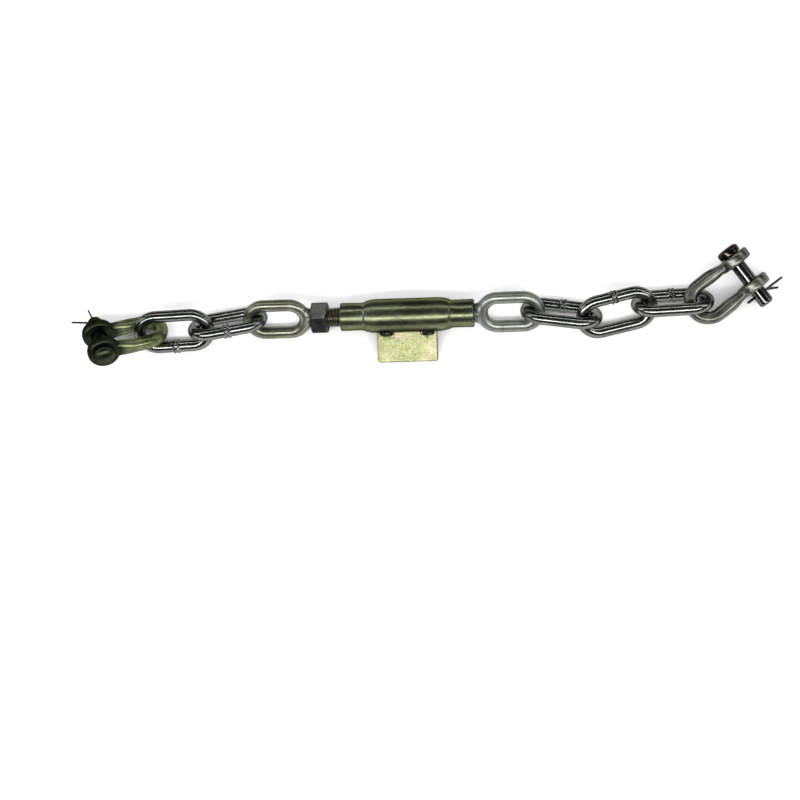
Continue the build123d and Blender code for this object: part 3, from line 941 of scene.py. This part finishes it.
def add_links():
    rows = (
        ("left_link_1", "left_link_1_swing", "left_link_2_swing", -1, "left_link_inner", -1, -1),
        ("left_link_2", "left_link_2_swing", "left_shackle_swing", -1, "left_link_outer", -1, 1),
        ("right_link_1", "right_link_1_swing", "right_link_2_swing", 1, "right_link_inner", 1, -1),
        ("right_link_2", "right_link_2_swing", "right_link_3_swing", 1, "right_link_middle", 1, 1),
        ("right_link_3", "right_link_3_swing", "right_shackle_swing", 1, "right_link_outer", 1, -1),
    )
    for seed, (node, own, following, side, body, seam_side, roll_side) in enumerate(rows):
        spot = link_spot(own, following, side, roll_side * LINK_ROLL)
        add(f"{node}_wire", link_mesh(spot, seam_side, seed + 1.0), "link_zinc", body, [node])


def add_shackles():
    rows = (
        ("left", "shackle_zinc_olive", "pin_dark", LEFT_SPLIT, 3.2),
        ("right", "shackle_zinc_grey", "pin_bright", RIGHT_SPLIT, 2.2),
    )
    for name, shackle_slot, pin_slot, (turn, legs), rim in rows:
        spot = shackle_spot(f"{name}_shackle_swing", f"{name}_pin_turn")
        forging = fused(raw_object(f"{name}_shackle_forging", *shackle_mesh(spot, rim)), 0.42, 8)
        lumpy_object(forging, 0.16, 8.0, 9.0 + len(name))
        cut(forging, bore_tool(spot))
        dress(forging, materials[shackle_slot], f"{name}_shackle_body", [f"{name}_shackle"], 42.0)
        clevis = raw_object(f"{name}_clevis", *clevis_mesh(spot, name == "left"))
        cut(clevis, hole_tool(spot, turn))
        dress(clevis, materials[pin_slot], f"{name}_pin_body", [f"{name}_clevis_pin"])
        add(f"{name}_split", split_mesh(spot, turn, legs), "split_steel", f"{name}_pin_body", [f"{name}_split_pin"], 55.0)


# ------------------------------------------------------------------ floor, light, camera
def add_floor():
    size, steps = 3.2, 8
    grid = bmesh.new()
    bmesh.ops.create_grid(grid, x_segments=steps, y_segments=steps, size=size)
    mesh = bpy.data.meshes.new("studio_floor")
    grid.to_mesh(mesh)
    grid.free()
    mesh.materials.append(floor_material())
    floor = bpy.data.objects.new("studio_floor", mesh)
    floor.location = (0, 0, cad_box[0].z - 0.0002)
    bpy.context.scene.collection.objects.link(floor)


def add_softbox(name, place, target, width, height, power, colour=(1.0, 1.0, 1.0)):
    light = bpy.data.lights.new(name, "AREA")
    light.shape = "RECTANGLE"
    light.size = width
    light.size_y = height
    light.energy = power
    light.color = colour
    obj = bpy.data.objects.new(name, light)
    obj.location = place
    aim = Vector(target) - Vector(place)
    obj.rotation_euler = aim.to_track_quat("-Z", "Y").to_euler()
    bpy.context.scene.collection.objects.link(obj)


def add_lights():
    target = (0, 0, 0)
    add_softbox("strip_front", (0.0, -1.27, 1.75), target, 5.0, 0.38, 76.0)
    add_softbox("strip_back", (0.0, 1.18, 1.75), target, 5.0, 0.18, 21.0)
    add_softbox("side_left", (-1.9, 0.3, 1.0), target, 0.4, 1.0, 5.0)
    add_softbox("side_right", (1.9, 0.3, 1.0), target, 0.4, 1.0, 5.0)


def add_world():
    """A dim studio all round for the metal to reflect, and a plain pale one for the eye and for the floor."""
    world = bpy.data.worlds.new("studio")
    bpy.context.scene.world = world
    world.use_nodes = True
    tree = world.node_tree
    output = tree.nodes["World Output"]
    room = tree.nodes["Background"]
    room.inputs["Color"].default_value = (0.90, 1.0, 0.97, 1.0)
    room.inputs["Strength"].default_value = 0.035
    backdrop = tree.nodes.new("ShaderNodeBackground")
    backdrop.inputs["Color"].default_value = (1.0, 1.0, 1.0, 1.0)
    backdrop.inputs["Strength"].default_value = 0.85
    rays = tree.nodes.new("ShaderNodeLightPath")
    chosen = tree.nodes.new("ShaderNodeMixShader")
    tree.links.new(rays.outputs["Is Glossy Ray"], chosen.inputs["Fac"])
    tree.links.new(backdrop.outputs["Background"], chosen.inputs[1])
    tree.links.new(room.outputs["Background"], chosen.inputs[2])
    tree.links.new(chosen.outputs["Shader"], output.inputs["Surface"])


def add_camera():
    """The photograph's viewpoint: high in front, leaning a little to the right and rolled a little."""
    lean, height = math.radians(CAMERA_LEAN), math.radians(CAMERA_ELEVATION)
    back = np.array((math.sin(lean), -math.cos(lean) * math.cos(height), math.cos(lean) * math.sin(height)))
    right = unit(np.cross((0, math.sin(height), math.cos(height)), back))
    up = np.cross(back, right)
    roll = math.radians(CAMERA_ROLL)
    right, up = math.cos(roll) * right + math.sin(roll) * up, -math.sin(roll) * right + math.cos(roll) * up
    place = MIDDLE + back * CAMERA_DISTANCE
    aim = MIDDLE + right * AIM_RIGHT + up * AIM_UP
    back = unit(place - aim)
    right = unit(np.cross(up, back))
    up = np.cross(back, right)
    data = bpy.data.cameras.new("camera")
    data.lens = CAMERA_LENS
    data.sensor_width = 36.0
    data.clip_start, data.clip_end = 0.05, 50.0
    camera = bpy.data.objects.new("camera", data)
    camera.matrix_world = Matrix.Translation(Vector(place * MM)) @ Matrix(
        [[right[i], up[i], back[i]] for i in range(3)]
    ).to_4x4()
    bpy.context.scene.collection.objects.link(camera)
    bpy.context.scene.camera = camera


scene = bpy.context.scene
scene.view_settings.view_transform = "Standard"
materials = make_materials()
add_body()
add_eyes()
add_nut()
add_links()
add_shackles()
add_floor()
add_lights()
add_world()
add_camera()
